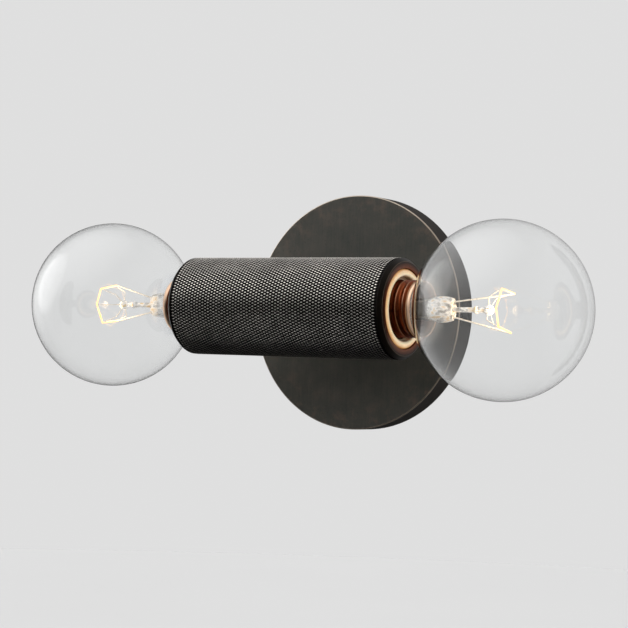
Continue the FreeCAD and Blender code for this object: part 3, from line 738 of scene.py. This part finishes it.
class Finish(Graph):
    """A material, with its Principled shader."""

    def __init__(self, name, **constants):
        self.material = bpy.data.materials.new(name)
        self.material.use_nodes = True
        super().__init__(self.material.node_tree)
        self.shader = self.tree.nodes["Principled BSDF"]
        for constant, value in constants.items():
            self.socket(constant).default_value = value
        self.place = self.node("ShaderNodeTexCoord", output="Object")

    def socket(self, name):
        """The shader's socket for a name such as base_color."""
        return self.shader.inputs[name.replace("_", " ").title().replace("Ior", "IOR")]

    def link(self, **values):
        """Links values to the shader's sockets."""
        for name, value in values.items():
            self.tree.links.new(value.socket, self.socket(name))

    def noise(self, size, detail=3, rough=0.55, stretch=(1, 1, 1)):
        """Noise from 0 to 1 with blobs about this big, stretched by a factor along each axis."""
        squeeze = tuple(1 / (size * factor) for factor in stretch)
        factors = {0: self.place, 1: squeeze}
        place = self.node("ShaderNodeVectorMath", {"operation": "MULTIPLY"}, factors)
        inputs = {"Vector": place, "Scale": 1, "Detail": detail, "Roughness": rough}
        return self.node("ShaderNodeTexNoise", {}, inputs)

    def along(self, axis):
        """The place's distance along X, Y or Z."""
        return self.node("ShaderNodeSeparateXYZ", {}, {0: self.place}, axis)

    def off_axis(self):
        """The distance from the tube's axis."""
        depth = self.along("Y") - tube_axis.y
        height = self.along("Z")
        return (depth * depth + height * height).math("SQRT")

    def reach(self):
        """The distance from the middle of the tube, along its axis."""
        sideways = self.along("X")
        return (sideways * sideways).math("SQRT")

    def layer(self, amount, body):
        """Lays a second shader, with these sockets' values or links, over the first."""
        first = Value(self, self.shader.outputs[0])
        second = self.node("ShaderNodeBsdfPrincipled", {}, body)
        mixed = self.node("ShaderNodeMixShader", {}, {0: amount, 1: first, 2: second})
        self.tree.links.new(mixed.socket, self.tree.nodes["Material Output"].inputs["Surface"])

    def bump(self, height, depth, strength=1.0):
        """A bump whose height runs over this depth."""
        inputs = {"Height": height, "Distance": depth, "Strength": strength}
        self.link(normal=self.node("ShaderNodeBump", {}, inputs))

    def on(self, *pieces):
        """Puts the finish on these pieces, given as objects or as nodes' names."""
        dressed = [nodes[piece] if isinstance(piece, str) else piece for piece in pieces]
        for item in dressed:
            if not item.data.materials:
                item.data.materials.append(self.material)
            for slot in item.material_slots:
                slot.material = self.material
        print(self.material.name, "dresses", ", ".join(item.name for item in dressed))


def colour(red, green, blue):
    """A colour without transparency, in linear shares of light."""
    return (red, green, blue, 1)


print("a Finish has", ", ".join(name for name in vars(Finish) if not name.startswith("_")))

# %% [markdown]
# ## Patinated bronze
# The backplate is darkened chemically and waxed. Its colour drifts between olive and brown in soft
# clouds, with faint upright brush marks, fine darker specks and some umber towards the rim, and its
# rounded front edge is rubbed down to bare metal. Large noise gives the clouds, small noise the
# specks, noise stretched upright the brush marks, and the distance from the plate's middle the
# rim. The side and the inside are painted near black and dull, a painted shade for the shadow
# they lie in against the wall.

# %% Patinated bronze
patina = Finish("patinated_bronze", coat_roughness=0.35)
clouds = patina.noise(26 * mm, detail=4, rough=0.6)
streaks = patina.noise(6 * mm, detail=4, rough=0.65)
specks = patina.noise(0.8 * mm, detail=2, rough=0.5)
brushing = patina.noise(0.9 * mm, detail=3, rough=0.6, stretch=(1, 1, 14))
across = patina.along("X")
height = patina.along("Z")
from_middle = (across * across + height * height).math("SQRT")
# What lies behind the plate's front face, its side and its inside, where shade is painted.
behind = patina.along("Y").rise(plate_front + 0.45 * mm, plate_front + 0.9 * mm)
edge = from_middle.rise(plate_r - 0.55 * mm, plate_r - 0.3 * mm) * (1 - behind)
tone = (clouds * 0.4 + streaks * 0.3 + brushing * 0.3).rise(0.36, 0.64)
olive = patina.blend(colour(0.033, 0.036, 0.031), colour(0.058, 0.053, 0.044), tone)
umber = (from_middle.rise(40 * mm, 57 * mm) * streaks.rise(0.5, 0.66)) * 0.7
olive = patina.blend(olive, colour(0.092, 0.066, 0.05), umber)
olive = patina.blend(olive, colour(0.022, 0.021, 0.018), specks.rise(0.6, 0.8) * 0.6)
# Painted shade: the side and the inside are blended to near black.
olive = patina.blend(olive, colour(0.012, 0.008, 0.005), behind)
patina.link(
    base_color=patina.blend(olive, colour(0.62, 0.52, 0.42), edge * (0.4 + streaks * 0.7)),
    metallic=0.35 + edge * 0.55 - behind * 0.2,
    roughness=0.36 + streaks * 0.18 + specks * 0.08 + behind * 0.25 - edge * 0.15,
    coat_weight=(0.15 + clouds * 0.2) * (1 - behind),
)
patina.bump(specks * 0.6 + streaks + brushing * 0.5, 0.03 * mm, 0.5)
patina.on("canopy", "stem_post", "canopy_screws")

# %% [markdown]
# ## Knurled bronze
# Blackening stays in the grooves and is rubbed off the points. Distance from the tube's axis tells
# the two apart, so the mask rises from the groove to the point. The rubbing isn't even, so broad
# noise makes some patches of points brighter.

# %% Knurled bronze
knurl = Finish("knurled_bronze", metallic=1.0)
point = knurl.off_axis().rise(tube_r - knurl_depth * 0.3, tube_r - knurl_depth * 0.04)
rubbing_and_crest_highlight = knurl.noise(14 * mm)
grain = knurl.noise(0.4 * mm, detail=2)
polish = (point * (0.45 + rubbing_and_crest_highlight * 0.9)).rise(0, 1)
dark = knurl.blend(colour(0.005, 0.0045, 0.004), colour(0.014, 0.012, 0.011), grain)
knurl.link(
    base_color=knurl.blend(dark, colour(0.88, 0.84, 0.78), polish),
    roughness=0.5 - polish * 0.28 + grain * 0.08,
)
knurl.on(knurled)

# %% [markdown]
# ## Turned dark bronze
# The end rings are smooth and almost black, with the faint circular marks of the lathe and an edge
# that is rubbed a little brighter. Towards the lamp a redder brown is painted in, a painted glow of
# the lamp's warm light on the ring, varied by mottle. The marks are noise that changes only with
# the distance from the axis.

# %% Turned dark bronze
turned_dark = Finish("turned_bronze", metallic=0.85)
marks_per_metre = 4500
out = turned_dark.off_axis()
lathe = {"W": out, "Scale": marks_per_metre, "Detail": 2}
marks = turned_dark.node("ShaderNodeTexNoise", {"noise_dimensions": "1D"}, lathe)
mottle = turned_dark.noise(4 * mm)
# Painted glow: the lamp's warm light on the ring's inner band, varied by mottle.
warm_tone_and_painted_light = (1 - out.rise(18.6 * mm, 21.0 * mm)) * (0.6 + mottle * 0.6)
black = turned_dark.blend(colour(0.008, 0.007, 0.006), colour(0.022, 0.016, 0.012), mottle)
inner_side = out.rise(ring_face_r - 0.25 * mm, ring_face_r - 0.05 * mm)
outer_side = out.rise(ring_face_r + 0.05 * mm, ring_face_r + 0.25 * mm)
rubbed_edge = inner_side * (1 - outer_side)
black = turned_dark.blend(black, colour(0.16, 0.11, 0.08), rubbed_edge * mottle)
# The redder brown blended in below is the painted glow of the lamp.
turned_dark.link(
    base_color=turned_dark.blend(black, colour(0.2, 0.068, 0.036), warm_tone_and_painted_light.rise(0, 1)),
    roughness=0.3 + mottle * 0.14 + marks * 0.08,
)
turned_dark.bump(marks, 0.004 * mm)
turned_dark.on(*end_rings)

# %% [markdown]
# ## Porcelain
# The sockets are glazed porcelain of a warm cream, with pin-holes under the glaze. Towards the lip's
# outer edge and in its mouth the cream is painted down to honey, a painted shade where the rounded
# lip turns away and in its recess, with clouds that vary it at random. Distance from the axis tells
# crest, edge and mouth apart. A little light goes into it, which a small subsurface weight gives.

# %% Porcelain
porcelain = Finish(
    "porcelain", subsurface_weight=0.1, subsurface_scale=2 * mm, coat_roughness=0.1, ior=1.5
)
cloud = porcelain.noise(5 * mm)
pits = porcelain.noise(0.4 * mm, detail=2)
out = porcelain.off_axis()
# Painted shade: darker towards the lip's outer edge and in its mouth.
painted_mouth_shade = 1 - out.rise(14.6 * mm, 15.3 * mm)
painted_edge_shade = out.rise(15.9 * mm, 17.8 * mm)
cloud_tone_and_painted_shade = (painted_edge_shade + painted_mouth_shade * 0.7 + cloud * 0.5 - 0.25).rise(0, 1)
cream_and_painted_shade = porcelain.blend(colour(1.0, 0.92, 0.7), colour(0.62, 0.33, 0.11), cloud_tone_and_painted_shade)
porcelain.link(
    base_color=porcelain.blend(cream_and_painted_shade, colour(0.3, 0.17, 0.07), pits.rise(0.66, 0.8) * 0.6),
    roughness=0.25 + cloud * 0.15,
    coat_weight=0.3 + cloud * 0.2,
)
porcelain.bump(cloud + pits * 0.3, 0.03 * mm, 0.4)
porcelain.on("left_socket_body", "right_socket_body")

# %% [markdown]
# ## Rolled brass
# The shells are thin brass that has gone coppery with heat. Rolling leaves fine lines round the
# axis and tarnish lies on it in patches. The crests of the thread carry a painted highlight, and the
# collar that grips the glass is painted paler, a painted glow of the filament's light on it.

# %% Rolled brass
brass = Finish("rolled_brass")
out = brass.off_axis()
lines = brass.noise(1.6 * mm, detail=3, rough=0.6, stretch=(0.15, 1, 1))
tarnish = brass.noise(4 * mm, detail=4, rough=0.6)
crest_r = cap_thread_r + thread_throw
crest = out.rise(crest_r - 0.38 * mm, crest_r)
# Painted glow of the filament's light on the collar that grips the glass.
painted_collar_glow = brass.reach().rise(cap_top - 1.3 * mm, cap_top - 0.9 * mm)
warm_tone_and_painted_light = brass.blend(colour(0.2, 0.042, 0.015), colour(0.42, 0.1, 0.034), lines)
warm_tone_and_painted_light = brass.blend(warm_tone_and_painted_light, colour(0.07, 0.02, 0.008), tarnish.rise(0.5, 0.72) * 0.7)
# Painted highlight along the crests of the thread.
rubbing_and_crest_highlight = crest.math("POWER", 10) * (0.3 + lines * 0.6)
warm_tone_and_painted_light = brass.blend(warm_tone_and_painted_light, colour(1.0, 0.76, 0.55), rubbing_and_crest_highlight)
brass.link(
    base_color=brass.blend(warm_tone_and_painted_light, colour(0.92, 0.66, 0.46), painted_collar_glow * (0.5 + tarnish * 0.4)),
    roughness=0.22 + lines * 0.14 + tarnish * 0.08,
    metallic=1 - painted_collar_glow * 0.4,
)
brass.bump(lines, 0.01 * mm, 0.5)
brass.on(*caps, *socket_shells, "left_centre_contact", "right_centre_contact", "socket_rivets")

# %% [markdown]
# ## Clear glass
# The globes are clear, with a breath of dust and finger marks that changes their roughness by a
# hair. Round the neck a thin frosted layer fades in, a painted glare that stands in for the
# filament's light caught in the glass there.

# %% Clear glass
clear = Finish("clear_glass", transmission_weight=1.0, ior=1.5)
smudges = clear.noise(14 * mm, detail=4, rough=0.65)
clear.link(
    base_color=clear.blend(colour(0.99, 0.995, 0.995), colour(0.97, 0.975, 0.975), smudges),
    roughness=smudges.rise(0.6, 0.9) * 0.02,
)
# Painted glare: a frosted layer round the neck stands in for the filament's light in the glass.
painted_neck_glare = {"Base Color": colour(0.72, 0.8, 0.9), "Transmission Weight": 0.5, "Roughness": 0.3}
neck_top = 70.5 * mm
neck = 1 - clear.reach().rise(neck_top - 4.5 * mm, neck_top)
clear.layer(neck * (0.2 + smudges * 0.3), painted_neck_glare)
clear.on(*globes)

# %% [markdown]
# ## Stem glass
# The stem inside a lamp is drawn and pinched by heat, full of ripples that scatter light. Above the
# neck, part of it is given a white body with flecks of amber: a painted glow of the filament's light
# in the stem, with painted amber reflections.

# %% Stem glass
stem_glass = Finish("stem_glass", transmission_weight=1.0, ior=1.5)
ripples = stem_glass.noise(1.9 * mm, detail=2, rough=0.5, stretch=(1.8, 1, 1))
stem_glass.link(
    base_color=stem_glass.blend(colour(0.99, 0.98, 0.95), colour(0.95, 0.91, 0.84), ripples),
    roughness=0.02 + ripples * 0.06,
)
stem_glass.bump(ripples, 0.35 * mm, 0.9)
# Painted amber reflections in the stem.
painted_amber_reflections = ripples.rise(0.56, 0.68)
# Painted glow of the filament's light: a white layer on the stem above the neck.
painted_stem_glow = {
    "Base Color": stem_glass.blend(colour(1.0, 0.99, 0.96), colour(0.86, 0.66, 0.4), painted_amber_reflections),
    "Transmission Weight": 0.2,
    "Roughness": 0.08,
}
above_neck = stem_glass.reach().rise(neck_top, neck_top + 2.5 * mm)
stem_glass.layer(above_neck * ripples.rise(0.32, 0.54), painted_stem_glow)
stem_glass.on("left_bulb_stem", "right_bulb_stem")

# %% [markdown]
# ## Black glass
# Round the lamp's tip the insulator is black glass, poured hot, with a soft flow in its shine.

# %% Black glass
black_glass = Finish("black_glass", coat_roughness=0.05)
flow = black_glass.noise(2 * mm)
black_glass.link(
    base_color=black_glass.blend(colour(0.008, 0.008, 0.01), colour(0.03, 0.028, 0.03), flow),
    roughness=0.15 + flow * 0.15,
    coat_weight=0.3 + flow * 0.3,
)
black_glass.on("left_bulb_insulator", "right_bulb_insulator")

# %% [markdown]
# ## The glowing filament
# A lit filament is brighter than anything round it. Against a pale ground it still has to read as
# warm, so its strength stays low enough to keep the colour. Its heat isn't even, so noise along
# the coil shifts it between orange and yellow.

# %% The glowing filament
glow = Finish("glowing_filament", roughness=0.5, emission_strength=2.1)
heat = glow.noise(3 * mm, detail=2)
glow.link(
    base_color=glow.blend(colour(0.25, 0.16, 0.08), colour(0.4, 0.3, 0.18), heat),
    emission_color=glow.blend(colour(1.0, 0.44, 0.12), colour(1.0, 0.6, 0.24), heat.rise(0.3, 0.6)),
)
glow.on(*filaments)

# %% [markdown]
# ## Plain metals and wires
# Zinc plate has a fine crystal pattern, which Voronoi cells give. The wires are drawn metal, and
# solder is a dull grey with a rough skin. They differ only in colours, grain and roughness, so one
# helper makes them all.

# %% Zinc plate, wires and solder


def plated(name, light, dark, size, rough, metallic=1.0):
    """Metal with a crystal pattern between two tones."""
    finish = Finish(name, metallic=metallic)
    crystals = {"Vector": finish.place, "Scale": 1 / size}
    cells = finish.node("ShaderNodeTexVoronoi", {}, crystals, "Color")
    grey = finish.node("ShaderNodeRGBToBW", {}, {0: cells})
    dust = finish.noise(size * 4)
    finish.link(
        base_color=finish.blend(dark, light, grey * 0.5 + dust * 0.5),
        roughness=rough + grey * 0.1 + dust * 0.1,
    )
    finish.bump(dust + grey * 0.4, 0.01 * mm, 0.4)
    return finish


zinc = plated("zinc_plate", colour(0.66, 0.66, 0.64), colour(0.36, 0.36, 0.35), 1.6 * mm, 0.28)
zinc.on("wall_crossbar", "stem_nipple", "canopy_lock_washer", "nipple_locknuts", "saddle_washer")
zinc.on("socket_strap", "socket_screws")
green = plated("green_plate", colour(0.08, 0.42, 0.16), colour(0.03, 0.2, 0.07), 0.8 * mm, 0.3, 0.8)
green.on("ground_screw")
copper = plated("bare_copper", colour(0.85, 0.42, 0.24), colour(0.45, 0.18, 0.09), 0.7 * mm, 0.25)
copper.on("ground_wire")
nickel = plated("nickel_wire", colour(0.97, 0.94, 0.87), colour(0.78, 0.7, 0.58), 0.3 * mm, 0.2, 0.7)
nickel.on("left_bulb_lead_wires", "right_bulb_lead_wires")
nickel.on("left_bulb_filament_supports", "right_bulb_filament_supports")
solder = plated("solder", colour(0.6, 0.6, 0.6), colour(0.3, 0.3, 0.31), 0.9 * mm, 0.38)
solder.on("left_bulb_tip", "right_bulb_tip")

# %% [markdown]
# ## Plastics behind the plate
# The leads' insulation is extruded, which leaves a satin skin with faint scuffs, and the connectors
# are moulded in orange.

# %% Insulation and connectors


def moulded(name, low, high, size, rough):
    """Plastic with a swirl between two tones and fine scuffs."""
    finish = Finish(name)
    swirl = finish.noise(size)
    scuff = finish.noise(size * 0.15, detail=2)
    finish.link(base_color=finish.blend(low, high, swirl), roughness=rough + scuff * 0.15)
    finish.bump(scuff, 0.02 * mm, 0.4)
    return finish


live = moulded("black_insulation", colour(0.012, 0.012, 0.013), colour(0.03, 0.03, 0.032), 3 * mm, 0.4)
live.on("hot_leads")
neutral = moulded("white_insulation", colour(0.7, 0.68, 0.62), colour(0.82, 0.81, 0.77), 3 * mm, 0.4)
neutral.on("neutral_leads")
orange = moulded("orange_plastic", colour(0.62, 0.17, 0.02), colour(0.78, 0.26, 0.04), 4 * mm, 0.45)
orange.on(connector)

# %% [markdown]
# ## The floor
# The light hangs on a wall that isn't part of it, so the studio is only a wide pale floor below. A
# disc has the same far edge from every side, and its tone is chosen so that, lit as it is, it
# meets the pale background without a visible line.

# %% The floor
floor_r = 1.5
floor_depth = 0.26
floor = started(bpy.ops.mesh.primitive_circle_add, "floor", vertices=96, radius=floor_r, fill_type="NGON")
floor.location = (0, 0, -floor_depth)
only(floor)
bpy.ops.object.transform_apply(location=True)
pale = Finish("pale_floor", specular_ior_level=0)
sweep = pale.noise(0.4, detail=2)
pale.link(
    base_color=pale.blend(colour(0.634, 0.634, 0.634), colour(0.654, 0.654, 0.654), sweep),
    roughness=0.8 + sweep * 0.1,
)
pale.on(floor)
floor.visible_glossy = False

# %% [markdown]
# ## Light
# The world is a soft pale room. For the camera, and for what is seen through glass, it is one even
# pale tone. As a light, and in reflections, it is a dim room, lighter towards its ceiling, with a
# pale wall to the left and four patches of light. These model the round forms: a softbox at the
# left, a very broad light above in front, a weak one below it, and a wide one behind.

# %% The world
world = bpy.data.worlds.new("pale_studio")
bpy.context.scene.world = world
world.use_nodes = True
sky = Graph(world.node_tree)
rays = sky.node("ShaderNodeLightPath")
seen = rays.output("Is Camera Ray").math("MAXIMUM", rays.output("Is Transmission Ray"))
direction = sky.node("ShaderNodeTexCoord", output="Generated")
upward = sky.node("ShaderNodeSeparateXYZ", {}, {0: direction}, "Z")
leftward = 0 - upward.output("X")


def towards(aim):
    """1 where the room is looked at along this direction, and less away from it."""
    inputs = {0: direction, 1: tuple(Vector(aim).normalized())}
    return sky.node("ShaderNodeVectorMath", {"operation": "DOT_PRODUCT"}, inputs, "Value")


backdrop = 0.74
patches = {
    "softbox at the left": ((-0.95, -0.27, 0.3), 0.89, 0.94, 1.4),
    "broad light above in front": ((-0.45, -0.35, 0.82), 0.6, 0.97, 1.6),
    "weak light below": ((-0.4, -0.5, -0.75), 0.7, 0.95, 0.05),
    "wide light behind": ((0.6, 0.75, 0.3), 0.2, 0.9, 0.55),
}
room = 0.012 + upward.rise(-0.2, 0.4) * 0.07
room = room + leftward.rise(0.8, 1.0) * upward.rise(-0.45, 0.1) * 1.5
for patch, (aim, rim, core, brightness) in patches.items():
    room = room + towards(aim).rise(rim, core) * brightness
    print(patch, "at strength", brightness)
strength = seen * backdrop + (1 - seen) * room
background = world.node_tree.nodes["Background"]
world.node_tree.links.new(strength.socket, background.inputs["Strength"])
background.inputs["Color"].default_value = colour(1, 1, 1)

# %% [markdown]
# Three broad suns, as soft as window light, come from the front left, the right and behind. They
# are kept out of reflections, where the world alone shows.

# %% The suns


def unseen(item):
    """Keeps a light out of reflections, where the world alone shows."""
    item.visible_camera = item.visible_glossy = item.visible_transmission = False


def sun(name, come_from, power, softness):
    """A broad sun that shines from this direction on the object."""
    data = bpy.data.lights.new(name, "SUN")
    data.energy = power
    data.angle = math.radians(softness)
    item = bpy.data.objects.new(name, data)
    bpy.context.scene.collection.objects.link(item)
    item.rotation_euler = Vector(come_from).to_track_quat("Z", "Y").to_euler()
    unseen(item)
    print(name, "of", power, "W per square metre,", softness, "degrees wide")


sun("key_light", (-0.5, -1.0, 0.6), 1.1, 60)
sun("fill_light", (0.9, -0.7, 0.3), 1.0, 70)
sun("back_light", (0.5, 1.0, 0.5), 0.5, 70)

# %% [markdown]
# The lamps are lit. A coil as fine as theirs throws so little light in a render that a small warm
# light stands at each filament's middle and gives the stem, the socket's lip and the cap the glow
# that they have in the photograph. Clear glass hardly shades what is behind it, so the globes cast
# no shadow.

# %% Light from the filaments
glow_power = 0.09
glow_r = 9 * mm
for side, way in zip(ends, (-1, 1)):
    data = bpy.data.lights.new(f"{side}_glow", "POINT")
    data.energy = glow_power
    data.color = (1, 0.72, 0.42)
    data.shadow_soft_size = glow_r
    item = bpy.data.objects.new(f"{side}_glow", data)
    bpy.context.scene.collection.objects.link(item)
    item.location = tube_axis + Vector((way * filament_at, 0, 0))
    unseen(item)
for piece in globes:
    piece.visible_shadow = False
print("two warm lights", round(2 * filament_at / mm, 1), "mm apart")

# %% [markdown]
# ## The camera
# Its place, turn and focal length were solved from the photograph's outlines: the plate's ellipse,
# the tube's edges and the two globes. The picture is square, and the sensor is 36 mm wide. The
# focal length was solved in pixels, so it is brought to the sensor's width here.

# %% The camera
photo_width = 628
focal_pixels = 1968.479
distance = 928.924 * mm
sensor_width = 36
yaw = math.radians(31.816)
pitch = math.radians(-1.647)
roll = math.radians(1.999)
back = Vector((math.sin(yaw) * math.cos(pitch), -math.cos(yaw) * math.cos(pitch), math.sin(pitch)))
aim = Vector((-0.216, -50, -2.432)) * mm
right = (-back).cross(Vector((0, 0, 1))).normalized()
up = right.cross(-back)
tilted_right = right * math.cos(roll) + up * math.sin(roll)
tilted_up = up * math.cos(roll) - right * math.sin(roll)
camera_data = bpy.data.cameras.new("camera")
camera_data.sensor_width = sensor_width
camera_data.lens = sensor_width * focal_pixels / photo_width
camera_data.clip_start = 0.05
camera_data.clip_end = 20
camera = bpy.data.objects.new("camera", camera_data)
bpy.context.scene.collection.objects.link(camera)
camera_turn = Matrix((tilted_right, tilted_up, back)).transposed()
camera.matrix_world = Matrix.Translation(aim + back * distance) @ camera_turn.to_4x4()
bpy.context.scene.camera = camera
bpy.context.scene.view_settings.view_transform = "Standard"
print("camera at", [round(value, 3) for value in camera.location], "lens", round(camera_data.lens, 1))

# %% [markdown]
# The dressed object has to stay inside the solids' box.
